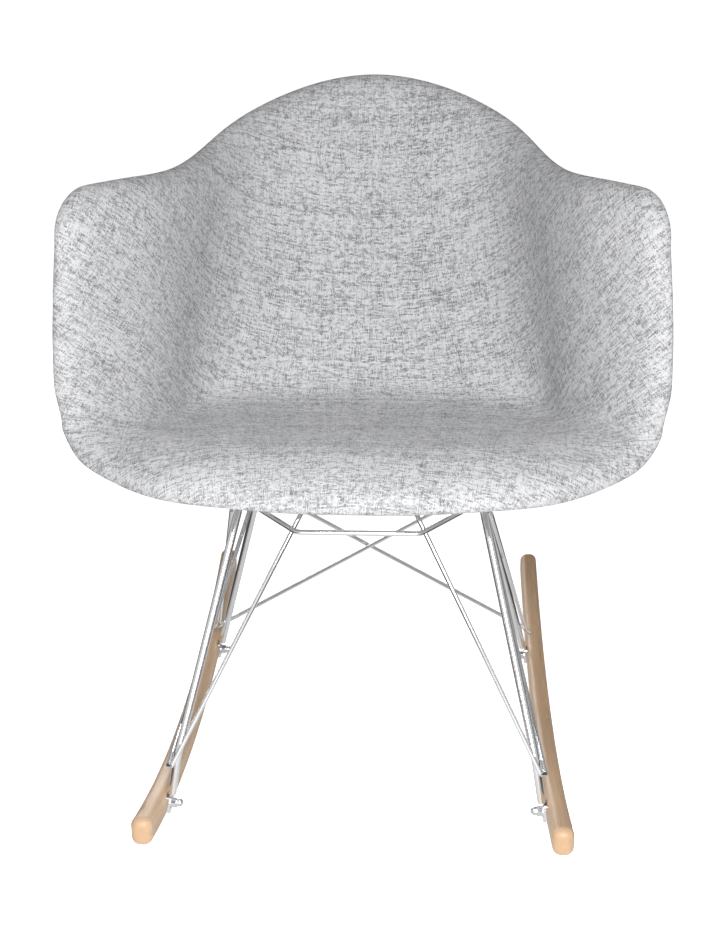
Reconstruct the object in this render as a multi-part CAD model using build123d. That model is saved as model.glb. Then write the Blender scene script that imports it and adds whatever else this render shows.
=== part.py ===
from build123d import *
import os
from math import cos, radians, sin, sqrt

# Rocking armchair: an upholstered bucket shell on a welded rod base with two timber runners.
# Millimetres. +Z is up, the sitter faces -Y, and X = 0 is the plane of symmetry.
# The chair is drawn level, with the middle of its runners on the floor under the origin.
# settled() then rolls it back to the angle at which it balances, and puts the origin on the
# floor under the middle of its overall length.

# ---- Driving dimensions ----
# The bucket is one surface, half way through the upholstered thickness. Three rails shape its
# right half, from the middle (first point) round to the front edge of the arm (last point):
# the seat's front lip, the heel where the seat would meet the wall, and the top rim.
LIP_RAIL = [
    (0, -242, 403), (62, -240, 403), (124, -232, 404), (183, -215, 402),
    (235, -181, 399), (275, -152, 399), (304, -126, 398),
]
HEEL_RAIL = [
    (0, 168, 336), (85, 162, 336), (160, 138, 339), (212, 85, 347),
    (230, 14, 364), (265, -59, 388), (318, -110, 440),
]
RIM_RAIL = [
    (0, 254, 718), (71, 246, 707), (141, 205, 676), (175, 134, 649),
    (197, 65, 639), (229, -12, 642), (292, -97, 641),
]
LIP_DROP = 36          # how far the middle of the lip turns down
LIP_REACH = 125        # distance over which it turns
LIP_POWER = 2.5        # how much of the turn is near the lip
HEEL_PULL = 7          # how closely the middle of the bucket follows the heel rail
ROLL_REACH = 62        # distance over which the rim rolls outwards
ROLL_BACK = 8          # how far it rolls at the back
ROLL_ARM = 20          # and at the arms' front
GRID_U = 32            # surface samples from arm to arm
GRID_V = 36            # surface samples from lip to rim

HALF_UPHOLSTERY = 10.5
COVER_THICKNESS = 1.5
FOAM_THICKNESS = 9.2
SHELL_THICKNESS = 4.0
BACK_PAD_THICKNESS = 3.0
LAYER_GAP = 0.5

REST_TILT = 1.77       # degrees that the chair rolls back from level to balance
RUNNER_RADIUS = 1120   # of the runner's centre line
RUNNER_HEIGHT = 29
RUNNER_WIDTH = 21
RUNNER_FRONT = 318      # from the middle of the arc to the nose
RUNNER_REAR = 335      # and to the tail
RUNNER_INNER_X = 193.5
RUNNER_EDGE = 8.5
FRONT_BOLT_Y = -230
REAR_BOLT_Y = 140

LEG_RADIUS = 4.25
BRACE_RADIUS = 2.4
BOW_RADIUS = 2.75
RAIL_RADIUS = 3.0
CROSS_RAIL_HALF = 112
FRONT_CROSS_RAIL_Y = -88
REAR_CROSS_RAIL_Y = 112
LEG_BEND = 40
WIRE_BEND = 12
HOOK_BEND = 3
HOOK_START = 7         # straight wire between a brace's end and its hook's first bend
BRACE_CROSSING_GAP = 3.3
JOINT_GAP = 0.1        # between a welded rod and what it's welded to
PLATE_GAP = 1.1        # between a cross rail and a slightly tilted mounting plate

TAB_THICKNESS = 3
TAB_WIDTH = 15
TAB_BELOW = 9.5
TAB_ABOVE = 10.5
TAB_CORNER = 3
BOLT_RADIUS = 3
BOLT_HOLE_RADIUS = 3.25
BOLT_HEAD_RADIUS = 6
BOLT_HEAD_HEIGHT = 4
BOLT_SOCKET_RADIUS = 2
BOLT_SOCKET_DEPTH = 2.5
THREAD_PAST_HEX = 2
HEAD_POCKET_RADIUS = 6.5
HEAD_POCKET_DEPTH = 5
WASHER_RADIUS = 6
WASHER_THICKNESS = 1
NUT_ACROSS_FLATS = 10
NUT_HEX_HEIGHT = 5
NUT_HEIGHT = 12
NUT_NECK_RADIUS = 4.1

MOUNT_SPOTS = [(-108, -92), (108, -92), (-104, 102), (104, 102)]
BOSS_RADIUS = 17
BOSS_HEIGHT = 3.4
MOUNT_RADIUS = 15
MOUNT_HEIGHT = 26
INSERT_RADIUS = 5
INSERT_HEIGHT = 13
SCREW_RADIUS = 2.5
SCREW_HEAD_RADIUS = 5
SCREW_HEAD_HEIGHT = 3.5
SCREW_LENGTH = 14
SCREW_SOCKET_RADIUS = 1.7
SCREW_SOCKET_DEPTH = 2
PLATE_SIZE = 34
PLATE_CORNER = 5
PLATE_THICKNESS = 3
COVER_HOLE_RADIUS = 20
SEAT_PAN_TOP = 420     # everything of the bucket below this height is the seat


# ---- The bucket surface ----
def full_rail(half):
    left = [(-x, y, z) for x, y, z in reversed(half[1:])]
    return Spline(*left, *half)


lip_rail = full_rail(LIP_RAIL)
heel_rail = full_rail(HEEL_RAIL)
rim_rail = full_rail(RIM_RAIL)


def column(across):
    """Points from lip to rim; across runs from -1 (left arm) through 0 to 1 (right arm)."""
    along = (across + 1) / 2
    lip = lip_rail @ along
    heel = heel_rail @ along
    rim = rim_rail @ along
    weight = 1 + HEEL_PULL * (1 - across**2)
    drop = LIP_DROP * (1 - across**4)
    heading = rim_rail % along
    outward = Vector(-heading.Y, heading.X, 0).normalized()
    roll = ROLL_BACK + (ROLL_ARM - ROLL_BACK) * across**2
    steps = 240
    fine = []
    for i in range(steps + 1):
        t = i / steps
        a = (1 - t) ** 2
        b = 2 * weight * t * (1 - t)
        c = t**2
        fine.append((lip * a + heel * b + rim * c) / (a + b + c))
    lengths = [0]
    for p, q in zip(fine, fine[1:]):
        lengths.append(lengths[-1] + (q - p).length)
    points = []
    i = 0
    for j in range(GRID_V + 1):
        wanted = lengths[-1] * j / GRID_V
        while i < steps - 1 and lengths[i + 1] < wanted:
            i += 1
        part = (wanted - lengths[i]) / (lengths[i + 1] - lengths[i])
        point = fine[i] + (fine[i + 1] - fine[i]) * part
        near_lip = max(0, 1 - wanted / LIP_REACH)
        near_rim = max(0, 1 - (lengths[-1] - wanted) / ROLL_REACH)
        point = point - Vector(0, 0, drop * near_lip**LIP_POWER)
        points.append(point + outward * (roll * near_rim**2))
    return points


def bucket_grid():
    return [column(2 * i / GRID_U - 1) for i in range(GRID_U + 1)]


def grid_normal(grid, i, j):
    """The unit normal on the sitter's side."""
    i0 = max(i - 1, 0)
    i1 = min(i + 1, GRID_U)
    j0 = max(j - 1, 0)
    j1 = min(j + 1, GRID_V)
    across = grid[i1][j] - grid[i0][j]
    along = grid[i][j1] - grid[i][j0]
    return across.cross(along).normalized()


bucket = bucket_grid()
bucket_normals = [[grid_normal(bucket, i, j) for j in range(GRID_V + 1)] for i in range(GRID_U + 1)]


def offset_face(distance):
    """The bucket surface moved along its normals, towards the sitter."""
    points = []
    for row, normals in zip(bucket, bucket_normals):
        points.append([p + n * distance for p, n in zip(row, normals)])
    return Face.make_surface_from_array_of_points(points)


def layer(top, thickness):
    """A sheet of the bucket whose sitter's side is top mm from the middle surface."""
    upper = offset_face(top)
    lower = offset_face(top - thickness)
    walls = []
    for edge in upper.edges():
        partner = min(lower.edges(), key=lambda other: (other @ 0.5 - edge @ 0.5).length)
        walls.append(Face.make_surface_from_curves(edge, partner))
    return Solid(Shell([upper, lower, *walls]))


def spot_plane(x, y):
    """A plane on the middle surface over a point of the seat, with its Z towards the sitter."""
    best = None
    for row, normals in zip(bucket, bucket_normals):
        for p, n in zip(row, normals):
            if p.Z > SEAT_PAN_TOP:
                continue
            distance = (p.X - x) ** 2 + (p.Y - y) ** 2
            if best is None or distance < best[0]:
                best = (distance, p, n)
    _, p, n = best
    height = p.Z - (n.X * (x - p.X) + n.Y * (y - p.Y)) / n.Z
    return Plane(origin=(x, y, height), x_dir=(1, 0, -n.X / n.Z), z_dir=n)


mount_planes = [spot_plane(x, y) for x, y in MOUNT_SPOTS]

inner_cover_top = HALF_UPHOLSTERY
foam_top = inner_cover_top - COVER_THICKNESS - LAYER_GAP
shell_top = foam_top - FOAM_THICKNESS - LAYER_GAP
shell_bottom = shell_top - SHELL_THICKNESS
back_pad_top = shell_bottom - LAYER_GAP
outer_cover_top = back_pad_top - BACK_PAD_THICKNESS - LAYER_GAP
mount_top = shell_bottom - BOSS_HEIGHT
plate_top = mount_top - MOUNT_HEIGHT
plate_bottom = plate_top - PLATE_THICKNESS


def local_cylinder(plane, radius, bottom, height):
    """A cylinder square to a mount's plane, from bottom mm above that plane."""
    solid = Cylinder(radius, height, align=(Align.CENTER, Align.CENTER, Align.MIN))
    return plane * Pos(0, 0, bottom) * solid


def seat_shell():
    body = layer(shell_top, SHELL_THICKNESS)
    for plane in mount_planes:
        body = body + local_cylinder(plane, BOSS_RADIUS, mount_top, BOSS_HEIGHT + SHELL_THICKNESS / 2)
    return body


def pierced(body):
    for plane in mount_planes:
        body = body - local_cylinder(plane, COVER_HOLE_RADIUS, plate_bottom, HALF_UPHOLSTERY - plate_bottom)
    return body


def rubber_mount(plane):
    body = local_cylinder(plane, MOUNT_RADIUS, plate_top, MOUNT_HEIGHT)
    return body - local_cylinder(plane, INSERT_RADIUS, plate_top, INSERT_HEIGHT)


def mount_insert(plane):
    body = local_cylinder(plane, INSERT_RADIUS, plate_top, INSERT_HEIGHT)
    return body - local_cylinder(plane, SCREW_RADIUS, plate_top, INSERT_HEIGHT)


def mount_plate(plane):
    plate = Box(PLATE_SIZE, PLATE_SIZE, PLATE_THICKNESS, align=(Align.CENTER, Align.CENTER, Align.MIN))
    plate = fillet(plate.edges().filter_by(Axis.Z), PLATE_CORNER)
    plate = plane * Pos(0, 0, plate_bottom) * plate
    return plate - local_cylinder(plane, SCREW_RADIUS, plate_bottom, PLATE_THICKNESS)


def seat_screw(plane):
    head = local_cylinder(plane, SCREW_HEAD_RADIUS, plate_bottom - SCREW_HEAD_HEIGHT, SCREW_HEAD_HEIGHT)
    shank = local_cylinder(plane, SCREW_RADIUS, plate_bottom, SCREW_LENGTH)
    socket = local_cylinder(
        plane, SCREW_SOCKET_RADIUS, plate_bottom - SCREW_HEAD_HEIGHT, SCREW_SOCKET_DEPTH
    )
    return head + shank - socket


# ---- Rods ----
def rod(points, radius, bend=0):
    """A round rod through the points, with every corner bent to the same radius."""
    path = FilletPolyline(*points, radius=bend) if bend else Polyline(*points)
    start = Plane(origin=path @ 0, z_dir=path % 0)
    return sweep(start * Circle(radius), path=path)


def runner_centre_z(y):
    return RUNNER_HEIGHT / 2 + RUNNER_RADIUS - sqrt(RUNNER_RADIUS**2 - y**2)


def under_plate(plane, y):
    """The height at which a cross rail just clears the underside of a mount's plate."""
    centre = plane.origin + plane.z_dir * (plate_bottom - RAIL_RADIUS - PLATE_GAP)
    return centre.Z - plane.z_dir.Y / plane.z_dir.Z * (y - centre.Y)


tab_inner_x = RUNNER_INNER_X - TAB_THICKNESS
leg_foot_x = 188.5
front_foot_z = runner_centre_z(FRONT_BOLT_Y) + TAB_ABOVE + JOINT_GAP
rear_foot_z = runner_centre_z(REAR_BOLT_Y) + TAB_ABOVE + JOINT_GAP
front_rail_z = under_plate(mount_planes[0], FRONT_CROSS_RAIL_Y)
rear_rail_z = under_plate(mount_planes[2], REAR_CROSS_RAIL_Y)
brace_top_z = front_rail_z - RAIL_RADIUS - BRACE_RADIUS - JOINT_GAP
FRONT_LEG = [(leg_foot_x, FRONT_BOLT_Y, front_foot_z), (182, -225, 90), (121.5, -85.3, 337)]
REAR_LEG = [(leg_foot_x, REAR_BOLT_Y, rear_foot_z), (116.5, 107, 314)]
BOW = [(125, -94, 322), (62.5, -156, 310.5)]
FRONT_BRACE = [(50, FRONT_CROSS_RAIL_Y, brace_top_z), (59, -139, 323), (183, -234.5, 91.5)]
FRONT_HOOK = [(191.5, -229.5, 81), (188.5, -218, 90), (120, 108.5, 300)]
REAR_BRACE = [(-125, -10, 305), (183, 149, 59)]
REAR_HOOK = [(196, 140, 54), (190, 130, 63), (135, -101, 311)]
SIDE_RAIL = [(128.5, -101, 309), (119.5, 108, 302)]


def on_side(points, side, shift=0):
    return [(side * x, y + shift, z) for x, y, z in points]


def run_on(points, length):
    """The end of a run, and a point further along the same line."""
    start = Vector(*points[-2])
    end = Vector(*points[-1])
    return [tuple(end), tuple(end + (end - start).normalized() * length)]


def front_leg(side):
    return rod(on_side(FRONT_LEG, side), LEG_RADIUS, LEG_BEND)


def rear_leg(side):
    return rod(on_side(REAR_LEG, side), LEG_RADIUS)


def front_brace(side):
    return rod(on_side(FRONT_BRACE, side), BRACE_RADIUS, WIRE_BEND)


def front_side_brace(side):
    start = run_on(on_side(FRONT_BRACE, side), HOOK_START)
    brace = rod(start + on_side(FRONT_HOOK, side), BRACE_RADIUS, HOOK_BEND)
    return brace - rear_leg(side) - side_rail(side)


def rear_brace(side):
    brace = rod(on_side(REAR_BRACE, side, side * BRACE_CROSSING_GAP), BRACE_RADIUS)
    return brace - side_rail(-side)


def rear_side_brace(side):
    start = run_on(on_side(REAR_BRACE, side, side * BRACE_CROSSING_GAP), HOOK_START)
    return rod(start + on_side(REAR_HOOK, side), BRACE_RADIUS, HOOK_BEND)


def front_bow():
    left = on_side(reversed(BOW), -1)
    return rod(BOW + left, BOW_RADIUS, WIRE_BEND) - front_leg(1) - front_leg(-1)


def side_rail(side):
    return rod(on_side(SIDE_RAIL, side), RAIL_RADIUS) - front_leg(side) - rear_leg(side)


def front_cross_rail():
    return cross_rail(FRONT_CROSS_RAIL_Y, front_rail_z)


def rear_cross_rail():
    return cross_rail(REAR_CROSS_RAIL_Y, rear_rail_z)


def cross_rail(y, z):
    return rod([(-CROSS_RAIL_HALF, y, z), (CROSS_RAIL_HALF, y, z)], RAIL_RADIUS)


# ---- Runners and their fastenings ----
def cross_cylinder(radius, x_start, x_end, y, z, side):
    """A cylinder along X between two distances from the middle, on one side of the chair."""
    body = Cylinder(radius, x_end - x_start, align=(Align.CENTER, Align.CENTER, Align.MIN))
    return Pos(side * x_start, y, z) * Rot(0, 90 * side, 0) * body


BOLT_SPOTS = [(y, runner_centre_z(y)) for y in (FRONT_BOLT_Y, REAR_BOLT_Y)]
runner_outer_x = RUNNER_INNER_X + RUNNER_WIDTH


def runner(side):
    centre_z = RUNNER_HEIGHT / 2 + RUNNER_RADIUS
    outer = Circle(RUNNER_RADIUS + RUNNER_HEIGHT / 2)
    inner = Circle(RUNNER_RADIUS - RUNNER_HEIGHT / 2)
    ring = Pos(0, centre_z) * (outer - inner)
    window = Rectangle(RUNNER_FRONT + RUNNER_REAR, centre_z, align=(Align.MIN, Align.MIN))
    window = Pos(-RUNNER_FRONT, 0) * window
    outline = Plane.YZ.offset(RUNNER_INNER_X) * (ring & window)
    body = extrude(outline, RUNNER_WIDTH)
    body = fillet(body.edges(), RUNNER_EDGE)
    if side < 0:
        body = mirror(body, Plane.YZ)
    for y, z in BOLT_SPOTS:
        body = body - cross_cylinder(BOLT_HOLE_RADIUS, RUNNER_INNER_X - 1, runner_outer_x + 1, y, z, side)
        pocket_start = runner_outer_x - HEAD_POCKET_DEPTH
        body = body - cross_cylinder(HEAD_POCKET_RADIUS, pocket_start, runner_outer_x + 1, y, z, side)
    return body


def foot_tab(side, y, z):
    centre = Pos(side * (tab_inner_x + TAB_THICKNESS / 2), y, z + (TAB_ABOVE - TAB_BELOW) / 2)
    body = Box(TAB_THICKNESS, TAB_WIDTH, TAB_ABOVE + TAB_BELOW)
    body = fillet(body.edges().filter_by(Axis.X), TAB_CORNER)
    hole = cross_cylinder(BOLT_HOLE_RADIUS, tab_inner_x - 1, RUNNER_INNER_X + 1, y, z, side)
    return centre * body - hole


def runner_bolt(side, y, z):
    head_start = runner_outer_x - HEAD_POCKET_DEPTH
    head_end = head_start + BOLT_HEAD_HEIGHT
    tip = tab_inner_x - WASHER_THICKNESS - NUT_HEX_HEIGHT - THREAD_PAST_HEX
    shank = cross_cylinder(BOLT_RADIUS, tip, head_start, y, z, side)
    head = cross_cylinder(BOLT_HEAD_RADIUS, head_start, head_end, y, z, side)
    socket = cross_cylinder(BOLT_SOCKET_RADIUS, head_end - BOLT_SOCKET_DEPTH, head_end, y, z, side)
    return shank + head - socket


def nut_washer(side, y, z):
    start = tab_inner_x - WASHER_THICKNESS
    ring = cross_cylinder(WASHER_RADIUS, start, tab_inner_x, y, z, side)
    return ring - cross_cylinder(BOLT_HOLE_RADIUS, start, tab_inner_x, y, z, side)


def cap_nut(side, y, z):
    hexagon = RegularPolygon(NUT_ACROSS_FLATS / 2, 6, major_radius=False)
    body = extrude(hexagon, NUT_HEX_HEIGHT)
    neck = NUT_HEIGHT - NUT_NECK_RADIUS
    body = body + Cylinder(NUT_NECK_RADIUS, neck, align=(Align.CENTER, Align.CENTER, Align.MIN))
    body = body + Pos(0, 0, neck) * Sphere(NUT_NECK_RADIUS)
    bore_depth = NUT_HEX_HEIGHT + THREAD_PAST_HEX
    bore = Cylinder(BOLT_RADIUS, bore_depth, align=(Align.CENTER, Align.CENTER, Align.MIN))
    body = body - bore
    return Pos(side * (tab_inner_x - WASHER_THICKNESS), y, z) * Rot(0, -90 * side, 0) * body


# ---- Writing the parts ----
def settled(shape):
    """Roll the chair about the centre of its runners' arcs, then centre its length."""
    axis_z = RUNNER_RADIUS + RUNNER_HEIGHT / 2
    tilt = radians(REST_TILT)
    end_zs = runner_centre_z(RUNNER_FRONT) + runner_centre_z(RUNNER_REAR) - 2 * axis_z
    middle_y = ((RUNNER_REAR - RUNNER_FRONT) * cos(tilt) + end_zs * sin(tilt)) / 2
    roll = Pos(0, -middle_y, axis_z) * Rot(-REST_TILT, 0, 0) * Pos(0, 0, -axis_z)
    return roll * shape


def save(shape, name):
    export_step(settled(shape), f"parts/{name}.step")


def main():
    os.makedirs("parts", exist_ok=True)
    save(layer(inner_cover_top, COVER_THICKNESS), "inner_cover")
    save(layer(foam_top, FOAM_THICKNESS), "seat_foam")
    save(seat_shell(), "seat_shell")
    save(pierced(layer(back_pad_top, BACK_PAD_THICKNESS)), "back_pad")
    save(pierced(layer(outer_cover_top, COVER_THICKNESS)), "outer_cover")
    mount_names = ["front_left", "front_right", "rear_left", "rear_right"]
    for plane, name in zip(mount_planes, mount_names):
        save(rubber_mount(plane), f"rubber_mount_{name}")
        save(mount_plate(plane), f"mount_plate_{name}")
    save(Compound([mount_insert(plane).solid() for plane in mount_planes]), "mount_inserts")
    save(Compound([seat_screw(plane).solid() for plane in mount_planes]), "seat_screws")
    for side, name in ((-1, "left"), (1, "right")):
        save(front_leg(side), f"front_leg_{name}")
        save(rear_leg(side), f"rear_leg_{name}")
        save(front_brace(side), f"front_brace_{name}")
        save(front_side_brace(side), f"front_side_brace_{name}")
        save(rear_brace(side), f"rear_brace_{name}")
        save(rear_side_brace(side), f"rear_side_brace_{name}")
        save(side_rail(side), f"side_rail_{name}")
        save(runner(side), f"runner_{name}")
        for (y, z), place in zip(BOLT_SPOTS, ("front", "rear")):
            save(foot_tab(side, y, z), f"foot_tab_{place}_{name}")
    save(front_bow(), "front_bow")
    save(front_cross_rail(), "front_cross_rail")
    save(rear_cross_rail(), "rear_cross_rail")
    spots = [(side, y, z) for side in (-1, 1) for y, z in BOLT_SPOTS]
    save(Compound([runner_bolt(*spot).solid() for spot in spots]), "runner_bolts")
    save(Compound([nut_washer(*spot).solid() for spot in spots]), "nut_washers")
    save(Compound([cap_nut(*spot).solid() for spot in spots]), "cap_nuts")


main()
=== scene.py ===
import math

import bpy
import numpy as np
from mathutils import Matrix, Vector


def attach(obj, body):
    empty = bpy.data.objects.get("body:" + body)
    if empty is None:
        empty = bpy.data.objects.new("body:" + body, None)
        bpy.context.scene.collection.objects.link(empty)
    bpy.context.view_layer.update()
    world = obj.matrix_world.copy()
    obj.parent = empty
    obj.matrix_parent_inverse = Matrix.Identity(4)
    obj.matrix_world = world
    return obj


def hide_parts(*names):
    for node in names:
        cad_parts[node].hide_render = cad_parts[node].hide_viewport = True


# Rocking armchair with an upholstered bucket, a chrome rod base and beech runners.
# The bucket is worked out in the same level drawing frame as the CAD part, in millimetres, and
# settled() brings it into the row frame, in metres.

# ---- The bucket's rails, as in the CAD part ----
LIP_RAIL = [
    (0, -242, 403), (62, -240, 403), (124, -232, 404), (183, -215, 402),
    (235, -181, 399), (275, -152, 399), (304, -126, 398),
]
HEEL_RAIL = [
    (0, 168, 336), (85, 162, 336), (160, 138, 339), (212, 85, 347),
    (230, 14, 364), (265, -59, 388), (318, -110, 440),
]
RIM_RAIL = [
    (0, 254, 718), (71, 246, 707), (141, 205, 676), (175, 134, 649),
    (197, 65, 639), (229, -12, 642), (292, -97, 641),
]
LIP_DROP = 36          # how far the middle of the lip turns down
LIP_REACH = 125        # distance over which it turns
LIP_POWER = 2.5        # how much of the turn is near the lip
HEEL_PULL = 7          # how closely the middle of the bucket follows the heel rail
ROLL_REACH = 62        # distance over which the rim rolls outwards
ROLL_BACK = 8          # how far it rolls at the back
ROLL_ARM = 20          # and at the arms' front
HALF_THICK = 10.5      # half of the upholstered thickness

REST_TILT = math.radians(1.77)
ARC_CENTRE_Z = 1134.5  # of the runners, above the floor
MIDDLE_Y = 24.59       # the same centre in the row frame
MM = 0.001

# ---- Mesh density and edges ----
TABLE_U, TABLE_V = 361, 301    # samples of the bucket formula
CELLS_U, CELLS_V = 208, 150    # mesh cells across and from lip to rim
NOSE_STEPS = 7                 # facets on each side of the rolled edge
SOFT_INNER = 27                # the padding thins towards the edge over this distance
SOFT_OUTER = 13                # and over this on the outer side
NOSE_HEIGHT = -3               # the edge's outermost line, from the middle surface
RIM_CORNER = 36                # radius of the arm's top corner
LIP_CORNER = 50                # radius of the arm's bottom corner
SEAM_CELLS = 4                 # the sitter's cover ends this many cells inside the outer side
SEAM_DIP, SEAM_SHOULDER = 1.1, 0.25    # depth of the seam's groove, and one cell beside it
RELIEF = 0.4                   # height of the padding's slow unevenness
RELIEF_SIZE, RELIEF_SEED = 130, 5      # its usual wavelength, and its random seed
RELIEF_FADE = 8                # cells from the edge over which it comes in
COLUMN_STEPS = 500             # points on each column before they're evened out
RAIL_STEPS = 4000              # and on each rail
COARSE_U, COARSE_V = 9, 10     # every ninth column and tenth row, for the flattened cloth
FLATTEN_ROUNDS = 40
WAVES = 14                     # sine waves in the slow unevenness
OUTER_CUT = (1300, 900)        # where the outer panel is cut from the cloth


# ---- Geometry in numpy ----
def settled(p):
    """Level drawing frame in mm to the row frame in metres."""
    c, s = math.cos(REST_TILT), math.sin(REST_TILT)
    p = np.asarray(p, float)
    y = p[..., 1] * c + (p[..., 2] - ARC_CENTRE_Z) * s + MIDDLE_Y
    z = ARC_CENTRE_Z + (p[..., 2] - ARC_CENTRE_Z) * c - p[..., 1] * s
    return np.stack([p[..., 0], y, z], -1) * MM


def unit(v):
    return v / np.maximum(np.linalg.norm(v, axis=-1, keepdims=True), 1e-12)


def rail(half, fractions):
    """Points on the smooth curve through a mirrored half rail, at fractions of its length."""
    pts = np.array([(-x, y, z) for x, y, z in half[:0:-1]] + half, float)
    gaps = np.linalg.norm(np.diff(pts, axis=0), axis=1)
    knots = np.r_[0, np.cumsum(gaps)]
    last = len(pts) - 1
    slopes = np.diff(pts, axis=0) / gaps[:, None]
    matrix = np.eye(last + 1)
    right = np.zeros((last + 1, 3))
    right[0] = slopes[0] - (slopes[1] - slopes[0]) * gaps[0] / (gaps[0] + gaps[1])
    right[-1] = slopes[-1] + (slopes[-1] - slopes[-2]) * gaps[-1] / (gaps[-1] + gaps[-2])
    for i in range(1, last):
        matrix[i, i - 1:i + 2] = gaps[i], 2 * (gaps[i - 1] + gaps[i]), gaps[i - 1]
        right[i] = 3 * (gaps[i] * slopes[i - 1] + gaps[i - 1] * slopes[i])
    tangents = np.linalg.solve(matrix, right)

    def at(s):
        i = np.clip(np.searchsorted(knots, s, side="right") - 1, 0, last - 1)
        h = gaps[i][:, None]
        t = ((s - knots[i]) / gaps[i])[:, None]
        start = pts[i] * (1 + 2 * t) * (1 - t) ** 2 + tangents[i] * h * t * (1 - t) ** 2
        return start + pts[i + 1] * t ** 2 * (3 - 2 * t) + tangents[i + 1] * h * t ** 2 * (t - 1)

    fine = np.linspace(0, knots[-1], RAIL_STEPS)
    run = np.r_[0, np.cumsum(np.linalg.norm(np.diff(at(fine), axis=0), axis=1))]
    return at(np.interp(np.asarray(fractions) * run[-1], run, fine))


def bucket_table():
    """The middle surface of the upholstery: columns from lip to rim, evenly spaced along each."""
    across = np.linspace(-1, 1, TABLE_U)
    lip, heel, rim = (
        rail(half, (across + 1) / 2)[:, None] for half in (LIP_RAIL, HEEL_RAIL, RIM_RAIL))
    weight = (1 + HEEL_PULL * (1 - across ** 2))[:, None, None]
    drop = LIP_DROP * (1 - across ** 4)
    t = np.linspace(0, 1, COLUMN_STEPS)[None, :, None]
    a, b, c = (1 - t) ** 2, 2 * weight * t * (1 - t), t ** 2
    fine = (lip * a + heel * b + rim * c) / (a + b + c)
    steps = np.linalg.norm(np.diff(fine, axis=1), axis=2)
    run = np.concatenate([np.zeros((TABLE_U, 1)), np.cumsum(steps, axis=1)], 1)
    grid = np.empty((TABLE_U, TABLE_V, 3))
    heading = np.gradient(rim[:, 0], axis=0)
    outward = unit(np.stack([-heading[:, 1], heading[:, 0], np.zeros(TABLE_U)], 1))
    roll = ROLL_BACK + (ROLL_ARM - ROLL_BACK) * across ** 2
    for i, length in enumerate(run[:, -1]):
        wanted = np.linspace(0, length, TABLE_V)
        for k in range(3):
            grid[i, :, k] = np.interp(wanted, run[i], fine[i, :, k])
        grid[i, :, 2] -= drop[i] * np.maximum(0, 1 - wanted / LIP_REACH) ** LIP_POWER
        fade = np.maximum(0, 1 - (length - wanted) / ROLL_REACH) ** 2
        grid[i] += np.outer(roll[i] * fade, outward[i])
    return grid


def sample(table, across, along):
    """Smooth (Catmull-Rom) reading of a table at across in -1..1 and along in 0..1."""
    def weights(x, count):
        x = np.clip(x, 0, 1) * (count - 1)
        i = np.clip(np.floor(x).astype(int), 0, count - 2)
        t = x - i
        w = np.stack([
            -0.5 * t + t ** 2 - 0.5 * t ** 3, 1 - 2.5 * t ** 2 + 1.5 * t ** 3,
            0.5 * t + 2 * t ** 2 - 1.5 * t ** 3, -0.5 * t ** 2 + 0.5 * t ** 3], -1)
        return np.clip(i[..., None] + np.arange(-1, 3), 0, count - 1), w

    iu, wu = weights((across + 1) / 2, table.shape[0])
    iv, wv = weights(along, table.shape[1])
    out = 0
    for a in range(4):
        for b in range(4):
            out = out + table[iu[..., a], iv[..., b]] * (wu[..., a] * wv[..., b])[..., None]
    return out


def round_corner(x, y, radius):
    """Moves points, given as distances from two edges, so that the edges' corner is an arc."""
    inside = (x < radius) & (y < radius)
    p, q = 1 - x / radius, 1 - y / radius
    big, small = np.maximum(p, q), np.minimum(p, q)
    angle = math.pi / 4 * small / np.maximum(big, 1e-9)
    angle = np.where(p >= q, angle, math.pi / 2 - angle)
    depth = np.where(inside, radius * (1 - big), np.minimum(x, y))
    x = np.where(inside, radius * (1 - big * np.cos(angle)), x)
    y = np.where(inside, radius * (1 - big * np.sin(angle)), y)
    return x, y, depth


def cover_domain(table):
    """Where each mesh point of the cover lies on the table, and how far it is from the edge."""
    p = np.linspace(-1, 1, CELLS_U + 1)[:, None] * np.ones((1, CELLS_V + 1))
    q = np.ones((CELLS_U + 1, 1)) * np.linspace(0, 1, CELLS_V + 1)[None, :]
    edge_speed = np.linalg.norm(table[-1] - table[-2], axis=1) * (TABLE_U - 1) / 2
    speed = np.interp(q, np.linspace(0, 1, TABLE_V), edge_speed)
    lengths = np.linalg.norm(np.diff(table, axis=1), axis=2).sum(1)
    length = np.interp(p, np.linspace(-1, 1, TABLE_U), lengths)
    x = (1 - abs(p)) * (speed - HALF_THICK)
    y = q * (length - 2 * HALF_THICK)
    top = length - 2 * HALF_THICK - y
    x1, y1, depth1 = round_corner(x, y, LIP_CORNER)
    x2, top2, depth2 = round_corner(x, top, RIM_CORNER)
    low = y < top
    x = np.where(low, x1, x2)
    y = np.where(low, y1, length - 2 * HALF_THICK - top2)
    across = np.sign(p) * (1 - (x + HALF_THICK) / speed)
    across = np.where(abs(p) < 1e-9, 0, across)
    return across, (y + HALF_THICK) / length, HALF_THICK + np.where(low, depth1, depth2)


def side_height(distance, reach, amount):
    """How far a side of the cover is from the nose line, at a distance from the edge."""
    left = 1 - np.minimum(distance, reach) / reach
    return amount * np.sqrt(1 - left ** 2)


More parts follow.
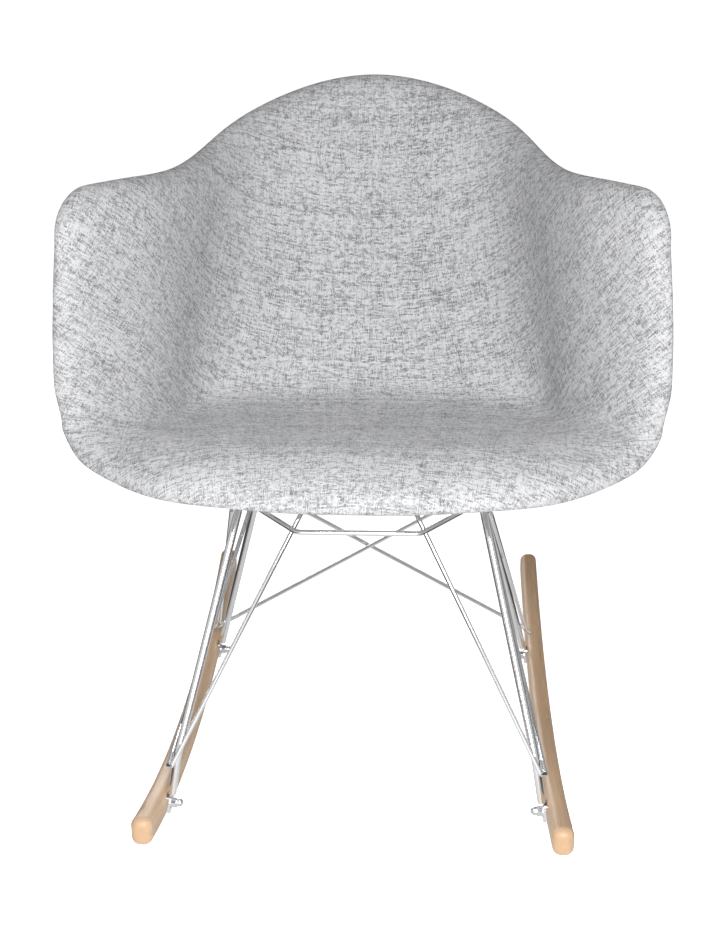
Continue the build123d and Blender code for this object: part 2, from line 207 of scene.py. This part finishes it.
def flatten(points):
    """Lays a coarse grid of the surface flat with as little stretch as possible, as cloth is cut."""
    nu, nv = points.shape[:2]
    ids = np.arange(nu * nv).reshape(nu, nv)
    a, b = ids[:-1, :-1].ravel(), ids[1:, :-1].ravel()
    c, d = ids[1:, 1:].ravel(), ids[:-1, 1:].ravel()
    tris = np.concatenate([np.stack([a, b, c], 1), np.stack([a, c, d], 1)])
    xyz = points.reshape(-1, 3)
    e1, e2 = xyz[tris[:, 1]] - xyz[tris[:, 0]], xyz[tris[:, 2]] - xyz[tris[:, 0]]
    ax = unit(e1)
    ay = unit(e2 - (e2 * ax).sum(1, keepdims=True) * ax)
    flat = np.zeros((len(tris), 3, 2))
    flat[:, 1, 0] = (e1 * ax).sum(1)
    flat[:, 2] = np.stack([(e2 * ax).sum(1), (e2 * ay).sum(1)], 1)
    corners = [(0, 1, 2), (1, 2, 0), (2, 0, 1)]
    weights = []
    laplace = np.zeros((len(xyz), len(xyz)))
    for i, j, k in corners:
        # the cotangent of the angle at k, kept above a small number so that none pulls backwards
        u, v = flat[:, i] - flat[:, k], flat[:, j] - flat[:, k]
        w = (u * v).sum(1) / np.maximum(abs(u[:, 0] * v[:, 1] - u[:, 1] * v[:, 0]), 1e-9)
        w = np.maximum(w, 0.02)
        weights.append(w)
        for r, s in ((i, j), (j, i)):
            np.add.at(laplace, (tris[:, r], tris[:, r]), w)
            np.add.at(laplace, (tris[:, r], tris[:, s]), -w)
    laplace[0, 0] += 1
    inverse = np.linalg.inv(laplace)
    wide = np.linalg.norm(np.diff(points, axis=0), axis=2).mean(1)
    tall = np.linalg.norm(np.diff(points, axis=1), axis=2).mean(0)
    u0 = np.r_[0, np.cumsum(wide)] - wide.sum() / 2
    v0 = np.r_[0, np.cumsum(tall)]
    uv = np.stack(np.meshgrid(u0, v0, indexing="ij"), -1).reshape(-1, 2)
    # each round turns every triangle to fit the layout, then moves the points to fit the triangles
    for _ in range(FLATTEN_ROUNDS):
        turn = np.zeros((len(tris), 2))
        for (i, j, _k), w in zip(corners, weights):
            du = uv[tris[:, i]] - uv[tris[:, j]]
            dx = flat[:, i] - flat[:, j]
            turn[:, 0] += w * (du * dx).sum(1)
            turn[:, 1] += w * (du[:, 1] * dx[:, 0] - du[:, 0] * dx[:, 1])
        turn = unit(turn)
        target = np.zeros_like(uv)
        for (i, j, _k), w in zip(corners, weights):
            dx = flat[:, i] - flat[:, j]
            rot = np.stack([turn[:, 0] * dx[:, 0] - turn[:, 1] * dx[:, 1],
                            turn[:, 1] * dx[:, 0] + turn[:, 0] * dx[:, 1]], 1) * w[:, None]
            np.add.at(target, tris[:, i], rot)
            np.add.at(target, tris[:, j], -rot)
        uv = inverse @ target
    uv = uv.reshape(nu, nv, 2)
    middle = uv[nu // 2]
    lean = math.atan2(*(middle[-1] - middle[0]))
    c, s = math.cos(lean), math.sin(lean)
    uv = (uv - middle[0]) @ np.array([[c, s], [-s, c]])
    return uv


def slow_noise(p, scale, seed):
    """A smooth seeded unevenness around 0, from a few sine waves."""
    rng = np.random.default_rng(seed)
    total = np.zeros(p.shape[:-1])
    for _ in range(WAVES):
        direction = unit(rng.normal(size=3))
        wave = rng.uniform(0.6, 1.6) / scale
        total += np.sin(p @ direction * wave * 2 * math.pi + rng.uniform(0, 2 * math.pi))
    return total / 5


def rings_from_edge(count_u, count_v):
    """How many rings each item of a grid is inside the grid's edge."""
    u, v = np.arange(count_u), np.arange(count_v)
    return np.minimum(np.minimum(u, u[::-1])[:, None], np.minimum(v, v[::-1])[None, :])


# ---- Mesh helpers ----
def new_mesh(name, verts, faces, material, uvs=None):
    mesh = bpy.data.meshes.new(name)
    mesh.from_pydata(np.asarray(verts, float).tolist(), [], [list(map(int, f)) for f in faces])
    if uvs is not None:
        layer = mesh.uv_layers.new(name="thread")
        corner = np.zeros(len(mesh.loops), int)
        mesh.loops.foreach_get("vertex_index", corner)
        layer.data.foreach_set("uv", np.asarray(uvs, float)[corner].ravel())
    mesh.polygons.foreach_set("use_smooth", [True] * len(mesh.polygons))
    mesh.materials.append(material)
    mesh.update()
    obj = bpy.data.objects.new(name, mesh)
    bpy.context.scene.collection.objects.link(obj)
    return obj


def used_only(verts, faces, uvs):
    """Drops the points that no face uses."""
    faces = [tuple(f) for f in faces]
    used = sorted({v for f in faces for v in f})
    place = {v: i for i, v in enumerate(used)}
    return verts[used], [tuple(place[v] for v in f) for f in faces], uvs[used]


# ---- Materials ----
WEFT_PITCH, WARP_PITCH = 0.0016, 0.0012    # metres from one thread to the next
DRIFT_SCALE = 42.0                         # how often the threads wander in a metre
DRIFT_WARP, DRIFT_WEFT = 3.0, 3.5          # and by how many threads
# a yarn's dark stretches: a seed, how fast they change along it, and where they start and are full
WEFT_RUNS, WARP_RUNS = (3.7, 0.16, 0.385, 0.64), (9.2, 0.19, 0.405, 0.66)
YARN_SPREAD, PATCH_SPREAD = 0.10, 0.07     # how much whole yarns and whole patches differ
YARN_STEP = 7.31                           # distance between two yarns in the noise
YARN_PALE, YARN_WHITE = (0.72, 0.725, 0.745, 1), (0.80, 0.80, 0.81, 1)
# the second colour here is painted shade: the darkening in the hollows between neighbouring yarns and
# at the ends of their floats, where shadow falls
YARN_CHARCOAL, YARN_GAP_SHADE = (0.105, 0.107, 0.115, 1), (0.24, 0.24, 0.25, 1)
LINT = (0.86, 0.86, 0.87, 1)
BEECH_PALE, BEECH_DEEP = (0.77, 0.545, 0.355, 1), (0.68, 0.465, 0.29, 1)
BEECH_FIBRE, BEECH_FLECK = (0.46, 0.28, 0.15, 1), (0.46, 0.28, 0.16, 1)
BEECH_END = (0.66, 0.37, 0.19, 1)
CHROME_DULL, CHROME_BRIGHT = (0.80, 0.805, 0.82, 1), (0.92, 0.92, 0.93, 1)


class Nodes:
    """A short way to write a material's node tree."""

    def __init__(self, name):
        self.material = bpy.data.materials.new(name)
        self.material.use_nodes = True
        self.tree = self.material.node_tree
        self.tree.nodes.clear()
        self.out = self.add("ShaderNodeOutputMaterial")
        self.bsdf = self.add("ShaderNodeBsdfPrincipled")
        self.tree.links.new(self.bsdf.outputs[0], self.out.inputs["Surface"])

    def add(self, kind, **settings):
        node = self.tree.nodes.new(kind)
        for key, value in settings.items():
            setattr(node, key, value)
        return node

    def put(self, socket, value):
        if isinstance(value, bpy.types.NodeSocket):
            self.tree.links.new(value, socket)
        elif value is not None:
            socket.default_value = value

    def set(self, **values):
        for key, value in values.items():
            self.put(self.bsdf.inputs[key.replace("_", " ")], value)

    def math(self, operation, a, b=None, c=None):
        node = self.add("ShaderNodeMath", operation=operation)
        for socket, value in zip(node.inputs, (a, b, c)):
            self.put(socket, value)
        return node.outputs[0]

    def vector(self, x, y, z=0.0):
        node = self.add("ShaderNodeCombineXYZ")
        for socket, value in zip(node.inputs, (x, y, z)):
            self.put(socket, value)
        return node.outputs[0]

    def split(self, vector):
        node = self.add("ShaderNodeSeparateXYZ")
        self.put(node.inputs[0], vector)
        return node.outputs

    def noise(self, vector, scale=1.0, detail=2.0, rough=0.5, dims="3D"):
        node = self.add("ShaderNodeTexNoise", noise_dimensions=dims)
        self.put(node.inputs["Vector"], vector)
        self.put(node.inputs["Scale"], scale)
        self.put(node.inputs["Detail"], detail)
        self.put(node.inputs["Roughness"], rough)
        return node.outputs[0]

    def white(self, vector):
        node = self.add("ShaderNodeTexWhiteNoise", noise_dimensions="2D")
        self.put(node.inputs["Vector"], vector)
        return node.outputs[0]

    def step(self, value, low, high, out_low=0.0, out_high=1.0):
        """Smooth ramp of value from low..high to out_low..out_high."""
        node = self.add("ShaderNodeMapRange", interpolation_type="SMOOTHSTEP")
        for key, x in (("Value", value), ("From Min", low), ("From Max", high),
                       ("To Min", out_low), ("To Max", out_high)):
            self.put(node.inputs[key], x)
        return node.outputs[0]

    def mix(self, factor, a, b):
        node = self.add("ShaderNodeMix", data_type="RGBA", clamp_factor=True)
        self.put(node.inputs[0], factor)
        self.put(node.inputs[6], a)
        self.put(node.inputs[7], b)
        return node.outputs[2]

    def mix_float(self, factor, a, b):
        node = self.add("ShaderNodeMix", data_type="FLOAT", clamp_factor=True)
        self.put(node.inputs[0], factor)
        self.put(node.inputs[2], a)
        self.put(node.inputs[3], b)
        return node.outputs[0]

    def bump(self, height, distance, strength):
        node = self.add("ShaderNodeBump")
        self.put(node.inputs["Height"], height)
        self.put(node.inputs["Distance"], distance)
        self.put(node.inputs["Strength"], strength)
        self.tree.links.new(node.outputs[0], self.bsdf.inputs["Normal"])


def fabric(name):
    """A weft-faced plain weave of light and charcoal slub yarns, on the thread UV map in metres."""
    n = Nodes(name)
    uv = n.add("ShaderNodeUVMap", uv_map="thread").outputs[0]
    drift = n.add("ShaderNodeTexNoise", noise_dimensions="2D")
    n.put(drift.inputs["Vector"], uv)
    n.put(drift.inputs["Scale"], DRIFT_SCALE)
    n.put(drift.inputs["Detail"], 3.0)
    shift = n.split(drift.outputs["Color"])
    flat = n.split(uv)
    # the place counted in threads, with their slow wandering
    u = n.math("MULTIPLY_ADD", shift[0], DRIFT_WARP, n.math("DIVIDE", flat[0], WARP_PITCH))
    v = n.math("MULTIPLY_ADD", shift[1], DRIFT_WEFT, n.math("DIVIDE", flat[1], WEFT_PITCH))
    row, col = n.math("FLOOR", v), n.math("FLOOR", u)
    fu = n.math("SUBTRACT", n.math("FRACT", u), 0.5)
    fv = n.math("SUBTRACT", n.math("FRACT", v), 0.5)
    odd = n.math("FRACT", n.math("MULTIPLY", n.math("ADD", row, col), 0.5))
    weft_up = n.math("LESS_THAN", odd, 0.25)
    patch = n.math("SUBTRACT", n.noise(uv, 26.0, 2.0, 0.6, "2D"), 0.5)

    def yarn(along, index, seed, stretch, low, high):
        """How dark a yarn is along its length, 0 light to 1 charcoal."""
        apart = n.math("MULTIPLY", index, YARN_STEP)
        place = n.vector(n.math("MULTIPLY", along, stretch), apart, seed)
        runs = n.noise(place, 1.0, 4.0, 0.65)
        tone = n.math("SUBTRACT", n.white(n.vector(index, seed)), 0.5)
        level = n.math("MULTIPLY_ADD", tone, YARN_SPREAD, runs)
        level = n.math("MULTIPLY_ADD", patch, PATCH_SPREAD, level)
        return n.math("POWER", n.step(level, low, high), 1.3)

    weft = yarn(u, row, *WEFT_RUNS)
    warp = yarn(v, col, *WARP_RUNS)
    # the weft covers the warp for the most part, also where the warp is on top
    seen = n.math("MULTIPLY_ADD", weft_up, 0.62, 0.28)
    dark = n.mix_float(seen, warp, weft)
    across = n.mix_float(weft_up, fu, fv)
    along = n.mix_float(weft_up, fv, fu)
    # each yarn is round across, and dips at the ends of its float
    round_top = n.math("MULTIPLY_ADD", n.math("MULTIPLY", across, across), -3.2, 1.0)
    crest = n.math("COSINE", n.math("MULTIPLY", along, math.pi * 0.9))
    fuzz_place = n.vector(n.math("MULTIPLY", u, 3.1), n.math("MULTIPLY", v, 4.3))
    fuzz = n.noise(fuzz_place, 1.0, 2.0, 0.6, "2D")
    height = n.math("MULTIPLY_ADD", fuzz, 0.5, n.math("MULTIPLY", round_top, crest))
    dye = n.noise(uv, 9.0, 2.0, 0.5, "2D")
    colour = n.mix(n.math("MULTIPLY", dark, 0.92), n.mix(dye, YARN_PALE, YARN_WHITE), YARN_CHARCOAL)
    # painted shade: the weave's low places, at the yarns' sides and float ends, are darkened towards
    # the gap colour as if shadow fell there
    colour = n.mix(n.step(height, 0.8, 0.1, 0.0, 0.36), colour, YARN_GAP_SHADE)
    colour = n.mix(n.step(fuzz, 0.35, 0.7, 0.0, 0.16), colour, LINT)
    n.set(Base_Color=colour, Roughness=0.92, Specular_IOR_Level=0.18, Sheen_Weight=0.12,
          Sheen_Roughness=0.5)
    n.bump(height, 0.0005, 0.75)
    return n.material


def chrome(name):
    n = Nodes(name)
    spot = n.add("ShaderNodeTexCoord").outputs["Object"]
    wear = n.noise(spot, 60.0, 3.0, 0.6)
    fine = n.noise(spot, 900.0, 2.0, 0.6)
    n.set(Base_Color=n.mix(wear, CHROME_DULL, CHROME_BRIGHT), Metallic=1.0,
          Roughness=n.step(wear, 0.3, 0.75, 0.05, 0.10))
    n.bump(fine, 0.00002, 0.3)
    return n.material


def beech(name):
    """Pale beech bent along the runner: the grain follows the arc."""
    n = Nodes(name)
    geometry = n.add("ShaderNodeNewGeometry")
    x, y, z = n.split(n.add("ShaderNodeTexCoord").outputs["Object"])
    dy = n.math("SUBTRACT", y, MIDDLE_Y * MM)
    dz = n.math("SUBTRACT", z, ARC_CENTRE_Z * MM)
    radius = n.math("SQRT", n.math("ADD", n.math("MULTIPLY", dy, dy), n.math("MULTIPLY", dz, dz)))
    angle = n.math("ARCTAN2", dy, n.math("MULTIPLY", dz, -1.0))
    along = n.math("MULTIPLY", angle, ARC_CENTRE_Z * MM)

    def grain(lengthwise, deep, wide, detail, rough):
        """Noise with this many features a metre along the runner, through it and across it."""
        place = n.vector(n.math("MULTIPLY", along, lengthwise), n.math("MULTIPLY", radius, deep),
                         n.math("MULTIPLY", x, wide))
        return n.noise(place, 1.0, detail, rough)

    # slow growth bands, fine fibre lines and the short flecks of beech
    bands = grain(1.6, 55.0, 70.0, 3.0, 0.55)
    fibre = grain(14.0, 900.0, 900.0, 3.0, 0.6)
    fleck = grain(260.0, 1500.0, 1500.0, 1.0, 0.5)
    colour = n.mix(n.step(bands, 0.3, 0.7), BEECH_PALE, BEECH_DEEP)
    colour = n.mix(n.step(fibre, 0.42, 0.72, 0.0, 0.50), colour, BEECH_FIBRE)
    colour = n.mix(n.step(fleck, 0.62, 0.72, 0.0, 0.45), colour, BEECH_FLECK)
    # the cut ends drink more finish, so they're a little more orange
    ny, nz = n.split(geometry.outputs["Normal"])[1:]
    turned = n.math("SUBTRACT", n.math("MULTIPLY", nz, dy), n.math("MULTIPLY", ny, dz))
    facing = n.math("ABSOLUTE", n.math("MULTIPLY", turned, n.math("DIVIDE", 1.0, radius)))
    colour = n.mix(n.step(facing, 0.6, 0.95, 0.0, 0.35), colour, BEECH_END)
    n.set(Base_Color=colour, Roughness=n.step(fibre, 0.3, 0.7, 0.38, 0.52),
          Specular_IOR_Level=0.45, Coat_Weight=0.12, Coat_Roughness=0.3)
    n.bump(n.math("ADD", fibre, n.math("MULTIPLY", fleck, 0.6)), 0.00012, 0.5)
    return n.material


def plain(name, colour, roughness, metallic=0.0):
    """A moulded or cast finish with slight tone and gloss variation."""
    n = Nodes(name)
    spot = n.add("ShaderNodeTexCoord").outputs["Object"]
    tone = n.noise(spot, 35.0, 3.0, 0.6)
    fine = n.noise(spot, 300.0, 2.0, 0.6)
    dark = tuple(c * 0.8 for c in colour) + (1,)
    n.set(Base_Color=n.mix(tone, dark, (*colour, 1)), Metallic=metallic,
          Roughness=n.step(fine, 0.3, 0.7, roughness - 0.06, roughness + 0.06))
    n.bump(fine, 0.0001, 0.4)
    return n.material


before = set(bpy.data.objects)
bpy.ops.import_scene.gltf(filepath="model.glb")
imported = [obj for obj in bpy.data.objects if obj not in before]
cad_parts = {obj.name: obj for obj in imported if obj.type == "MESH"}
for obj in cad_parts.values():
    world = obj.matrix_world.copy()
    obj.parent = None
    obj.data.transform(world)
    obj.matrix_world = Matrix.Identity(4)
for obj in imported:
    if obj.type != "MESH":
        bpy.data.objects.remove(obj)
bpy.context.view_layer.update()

CLOTH = fabric("melange_weave")
OUTER_CLOTH = fabric("melange_weave_outer")
CHROME = chrome("chrome")
BEECH = beech("beech")
RUBBER = plain("mount_rubber", (0.028, 0.028, 0.03), 0.62)
BRASS = plain("insert_brass", (0.62, 0.42, 0.16), 0.32, 1.0)
ZINC = plain("fastener_steel", (0.82, 0.82, 0.84), 0.20, 1.0)

# ---- The upholstered bucket ----
table = bucket_table()
table_normals = unit(np.cross(np.gradient(table, axis=0), np.gradient(table, axis=1)))
coarse = flatten(table[::COARSE_U, ::COARSE_V])

across, along, depth = cover_domain(table)
middle = sample(table, across, along)
normal = unit(sample(table_normals, across, along))
thread = sample(coarse, across, along)
relief = slow_noise(middle, RELIEF_SIZE, RELIEF_SEED)[..., None] * RELIEF
edge_ring = rings_from_edge(CELLS_U + 1, CELLS_V + 1)
relief = relief * np.clip(edge_ring / RELIEF_FADE, 0, 1)[..., None]
INNER_RISE, OUTER_RISE = HALF_THICK - NOSE_HEIGHT, HALF_THICK + NOSE_HEIGHT
rise = side_height(depth, SOFT_INNER, INNER_RISE)[..., None] + NOSE_HEIGHT
sink = side_height(depth, SOFT_OUTER, OUTER_RISE)[..., None] - NOSE_HEIGHT
upper = middle + normal * (rise + relief)
lower = middle - normal * (sink + relief)

grid_id = np.arange((CELLS_U + 1) * (CELLS_V + 1)).reshape(CELLS_U + 1, CELLS_V + 1)
loop = np.concatenate([grid_id[:-1, 0], grid_id[-1, :-1], grid_id[:0:-1, -1], grid_id[0, :0:-1]])
loop_middle = middle.reshape(-1, 3)[loop]
loop_normal = normal.reshape(-1, 3)[loop]
loop_thread = thread.reshape(-1, 2)[loop]
tangent = unit(np.roll(loop_middle, -1, 0) - np.roll(loop_middle, 1, 0))
outward = unit(np.cross(tangent, loop_normal))
flat_tangent = unit(np.roll(loop_thread, -1, 0) - np.roll(loop_thread, 1, 0))
flat_outward = np.stack([flat_tangent[:, 1], -flat_tangent[:, 0]], 1)

cells = np.stack([grid_id[:-1, :-1], grid_id[1:, :-1], grid_id[1:, 1:], grid_id[:-1, 1:]], -1)
cell_ring = rings_from_edge(CELLS_U, CELLS_V)


def nearest_loop():
    """For each grid point near the edge, its place in the edge loop."""
    place = {int(v): k for k, v in enumerate(loop)}
    found = {}
    for i in range(CELLS_U + 1):
        for j in range(CELLS_V + 1):
            ring = edge_ring[i, j]
            if ring > SEAM_CELLS:
                continue
            if j == ring:
                edge = grid_id[i, 0]
            elif CELLS_V - j == ring:
                edge = grid_id[i, -1]
            elif i == ring:
                edge = grid_id[0, j]
            else:
                edge = grid_id[-1, j]
            found[int(grid_id[i, j])] = place[int(edge)]
    return found


def nose_section():
    """The rolled edge's cross-section, (out, up) from the edge of the meshed sides, top first."""
    points = []
    start = math.acos(1 - HALF_THICK / SOFT_INNER)
    for k in range(NOSE_STEPS + 1):
        angle = start * (1 - k / NOSE_STEPS)
        inset = SOFT_INNER * (1 - math.cos(angle))
        points.append((HALF_THICK - inset, NOSE_HEIGHT + INNER_RISE * math.sin(angle)))
    end = math.acos(1 - HALF_THICK / SOFT_OUTER)
    for k in range(1, NOSE_STEPS + 1):
        angle = end * k / NOSE_STEPS
        inset = SOFT_OUTER * (1 - math.cos(angle))
        points.append((HALF_THICK - inset, NOSE_HEIGHT - OUTER_RISE * math.sin(angle)))
    return points


def build_covers():
    """The sitter's side with its rolled edge and return, and the outer side's panel."""
    count = grid_id.size
    verts = [upper.reshape(-1, 3)]
    uvs = [thread.reshape(-1, 2)]
    faces = [tuple(f) for f in cells.reshape(-1, 4)]
    rings = [loop]
    section = nose_section()
    girth = 0
    for step, (out, up) in enumerate(section[1:-1]):
        girth += np.hypot(out - section[step][0], up - section[step][1])
        verts.append(loop_middle + up * loop_normal + out * outward)
        uvs.append(loop_thread + flat_outward * girth)
        rings.append(count + np.arange(len(loop)) + step * len(loop))
    girth += np.hypot(*(np.array(section[-1]) - section[-2]))
    base = count + (len(section) - 2) * len(loop)
    # the return on the outer side, up to the seam
    seam_dip = np.where(
        edge_ring == SEAM_CELLS, SEAM_DIP, np.where(edge_ring == SEAM_CELLS - 1, SEAM_SHOULDER, 0))
    under = lower + normal * seam_dip[..., None]
    near = nearest_loop()
    under_uv = np.zeros((count, 2))
    flat_middle = middle.reshape(-1, 3)
    for v, k in near.items():
        distance = np.linalg.norm(flat_middle[v] - loop_middle[k])
        under_uv[v] = loop_thread[k] + flat_outward[k] * (girth + distance)
    verts.append(under.reshape(-1, 3))
    uvs.append(under_uv)
    rings.append(base + loop)
    for near_ring, far_ring in zip(rings, rings[1:]):
        faces += zip(near_ring, far_ring, np.roll(far_ring, -1), np.roll(near_ring, -1))
    for i in range(CELLS_U):
        for j in range(CELLS_V):
            if cell_ring[i, j] < SEAM_CELLS:
                faces.append(tuple(base + cells[i, j][::-1]))
    verts, faces, uvs = used_only(np.concatenate(verts), faces, np.concatenate(uvs))
    inner = new_mesh("inner_cover_cloth", settled(verts), faces, CLOTH, uvs * MM)

    panel_faces = [tuple(cells[i, j][::-1]) for i in range(CELLS_U) for j in range(CELLS_V)
                   if cell_ring[i, j] >= SEAM_CELLS]
    panel_dip = np.where(
        edge_ring <= SEAM_CELLS, SEAM_DIP, np.where(edge_ring == SEAM_CELLS + 1, SEAM_SHOULDER, 0))
    panel = lower + normal * panel_dip[..., None]
    panel_uv = thread.reshape(-1, 2) * (-1, 1) + OUTER_CUT
    verts, faces, uvs = used_only(panel.reshape(-1, 3), panel_faces, panel_uv)
    outer = new_mesh("outer_cover_cloth", settled(verts), faces, OUTER_CLOTH, uvs * MM)
    return inner, outer


inner_cover, outer_cover = build_covers()
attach(inner_cover, "root")
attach(outer_cover, "root")
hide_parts("inner_cover", "seat_foam", "seat_shell")
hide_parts("outer_cover", "back_pad")

# ---- Materials of the CAD pieces ----
LOOKS = {
    "base_steel": CHROME, "fastener_steel": ZINC, "runner_wood": BEECH, "mount_rubber": RUBBER,
    "insert_brass": BRASS,
}


def slot_of(name):
    """The material slot of a CAD piece, by its name."""
    if name.startswith("runner_bolts") or name in ("nut_washers", "cap_nuts", "seat_screws"):
        return "fastener_steel"
    if name.startswith("runner_"):
        return "runner_wood"
    if name.startswith("rubber_mount"):
        return "mount_rubber"
    if name == "mount_inserts":
        return "insert_brass"
    return "base_steel"


for name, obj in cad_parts.items():
    if obj.hide_render:
        continue
    obj.data.materials.clear()
    obj.data.materials.append(LOOKS[slot_of(name)])

# ---- Floor, light and camera ----
# the floor's glow on rough surfaces, then its tones in polished metal: beside the chair, under it
# and ahead of it
FLOOR_GLOW, FLOOR_SIDE, FLOOR_UNDER, FLOOR_AHEAD = 0.24, 0.04, 0.62, 0.92
# where those tones meet, in metres from the middle line and from the chair's middle
AHEAD_ASIDE, AHEAD_FRONT, UNDER_ASIDE = (0.5, 0.25), (-0.15, -0.5), (0.42, 0.26)
FLOOR_HALF = 15
SPOT_RADIUS = 0.1
# the room's light on rough surfaces and its ceiling in polished metal: from one sine of the height
# to another, the tone goes from the third number to the fourth
CEILING_LIGHT = (0.0, 1.0, 0.10, 0.08)
CEILING_GLOSS = (0.82, 0.93, 1.0, 0.08)
# the room's tone by compass angle in degrees from straight ahead, as polished metal sees it, above
# and below the sines of the height at which the two rings meet
FLAGS_MEET = (0.36, 0.48)
FLAGS_HIGH = [(0, 1.0), (46, 1.0), (56, 0.05), (180, 0.05)]
FLAGS_LOW = [
    (0, 1.0), (24, 0.95), (34, 0.32), (54, 0.36), (60, 0.75), (76, 0.75), (84, 0.04), (180, 0.04)]


def make_floor():
    """A white floor. Polished metal sees it white ahead, pale under the chair and dark beside it."""
    n = Nodes("studio_floor")
    x, y, _ = n.split(n.add("ShaderNodeNewGeometry").outputs["Position"])
    aside = n.math("ABSOLUTE", x)
    ahead = n.math("MULTIPLY", n.step(aside, *AHEAD_ASIDE), n.step(y, *AHEAD_FRONT))
    under = n.step(aside, *UNDER_ASIDE, FLOOR_SIDE, FLOOR_UNDER)
    path = n.add("ShaderNodeLightPath").outputs
    glow = n.mix_float(path["Is Glossy Ray"], FLOOR_GLOW, n.mix_float(ahead, under, FLOOR_AHEAD))
    glow = n.mix_float(path["Is Camera Ray"], glow, 1.0)
    n.set(Emission_Color=(1, 1, 1, 1), Emission_Strength=glow, Roughness=0.8, Specular_IOR_Level=0.1,
          Base_Color=n.mix(path["Is Glossy Ray"], (0.86, 0.86, 0.86, 1), (0.05, 0.05, 0.05, 1)))
    corners = ((-1, -1), (1, -1), (1, 1), (-1, 1))
    verts = [(side * FLOOR_HALF, front * FLOOR_HALF, 0) for side, front in corners]
    floor = new_mesh("studio_floor", verts, [(0, 1, 2, 3)], n.material)


def light(name, kind, location, target, power, **settings):
    data = bpy.data.lights.new(name, kind)
    data.energy = power
    for key, value in settings.items():
        setattr(data, key, value)
    obj = bpy.data.objects.new(name, data)
    obj.location = location
    obj.rotation_euler = (Vector(target) - Vector(location)).to_track_quat("-Z", "Y").to_euler()
    bpy.context.scene.collection.objects.link(obj)


def area_light(name, location, target, size, power):
    light(name, "AREA", location, target, power, shape="RECTANGLE", size=size[0], size_y=size[1])


def spot_light(name, location, target, degrees, power):
    """A spot that fades from its middle to its rim."""
    light(name, "SPOT", location, target, power, spot_size=math.radians(degrees), spot_blend=1.0,
          shadow_soft_size=SPOT_RADIUS)


def make_world():
    """A dim room that is white to the camera, with bright and dark flags for polished metal."""
    world = bpy.data.worlds.new("studio")
    world.use_nodes = True
    tree = world.node_tree
    background = tree.nodes["Background"]

    def add(kind, inputs=(), **settings):
        node = tree.nodes.new(kind)
        for key, value in settings.items():
            setattr(node, key, value)
        for key, value in dict(inputs).items():
            if isinstance(value, bpy.types.NodeSocket):
                tree.links.new(value, node.inputs[key])
            else:
                node.inputs[key].default_value = value
        return node.outputs

    def height_ramp(low, high, tone_low, tone_high):
        return add("ShaderNodeMapRange", {
            "Value": direction[2], "From Min": low, "From Max": high,
            "To Min": tone_low, "To Max": tone_high,
        }, interpolation_type="SMOOTHSTEP")[0]

    def ring(stops):
        """Tone by compass angle from straight ahead, the same to the left and the right."""
        node = tree.nodes.new("ShaderNodeValToRGB")
        tree.links.new(share, node.inputs[0])
        elements = node.color_ramp.elements
        elements.remove(elements[-1])
        for k, (degrees, tone) in enumerate(stops):
            stop = elements[0] if k == 0 else elements.new(0)
            stop.position = degrees / 180
            stop.color = (tone, tone, tone, 1)
        return node.outputs[0]

    direction = add("ShaderNodeSeparateXYZ", {0: add("ShaderNodeTexCoord")["Generated"]})
    forward = add("ShaderNodeMath", {0: direction[1], 1: -1.0}, operation="MULTIPLY")[0]
    turn = add("ShaderNodeMath", {0: direction[0], 1: forward}, operation="ARCTAN2")[0]
    share = add("ShaderNodeMath", {0: turn}, operation="ABSOLUTE")[0]
    share = add("ShaderNodeMath", {0: share, 1: math.pi}, operation="DIVIDE")[0]
    high = height_ramp(*FLAGS_MEET, 0.0, 1.0)
    flags = add("ShaderNodeMix", {0: high, 2: ring(FLAGS_LOW), 3: ring(FLAGS_HIGH)})[0]
    flags = add("ShaderNodeMath", {0: flags, 1: height_ramp(*CEILING_GLOSS)}, operation="MULTIPLY")[0]
    path = add("ShaderNodeLightPath")
    room = height_ramp(*CEILING_LIGHT)
    lit = add("ShaderNodeMix", {0: path["Is Glossy Ray"], 2: room, 3: flags})[0]
    seen = add("ShaderNodeMix", {0: path["Is Camera Ray"], 2: lit, 3: 1.0})[0]
    tree.links.new(seen, background.inputs["Color"])
    bpy.context.scene.world = world


make_floor()
make_world()
TARGET = (0, 0, 0.42)
# place, aim, size in metres (a spot's angle in degrees), watts
area_light("key", (0.14, -1.6, 1.15), TARGET, (0.6, 0.6), 28.5)
area_light("top", (0.1, -0.8, 1.6), TARGET, (0.9, 0.6), 1)
area_light("low", (0, -1.7, 0.3), (0, 0, 0.08), (0.9, 0.25), 1.0)
area_light("rear", (-0.6, 1.9, 0.5), TARGET, (1.2, 0.5), 12)
spot_light("lip", (0, -0.42, 1.1), (0, -0.28, 0.4), 74, 7.5)

CAMERA_AZIMUTH, CAMERA_ELEVATION, CAMERA_ROLL = 3.10, 22.08, -0.45
CAMERA_DISTANCE = 1.6394
CAMERA_TARGET = Vector((-0.0055, -0.0084, 0.3303))
CAMERA_LENS = 58.18

azimuth, elevation = math.radians(CAMERA_AZIMUTH), math.radians(CAMERA_ELEVATION)
back = Vector((
    math.sin(azimuth) * math.cos(elevation), -math.cos(azimuth) * math.cos(elevation),
    math.sin(elevation)))
camera = bpy.data.objects.new("camera", bpy.data.cameras.new("camera"))
camera.location = CAMERA_TARGET + back * CAMERA_DISTANCE
turn = Matrix.Rotation(azimuth, 4, "Z") @ Matrix.Rotation(math.pi / 2 - elevation, 4, "X")
camera.rotation_euler = (turn @ Matrix.Rotation(math.radians(CAMERA_ROLL), 4, "Z")).to_euler()
camera.data.lens = CAMERA_LENS
bpy.context.scene.collection.objects.link(camera)
bpy.context.scene.camera = camera
bpy.context.scene.view_settings.view_transform = "Standard"
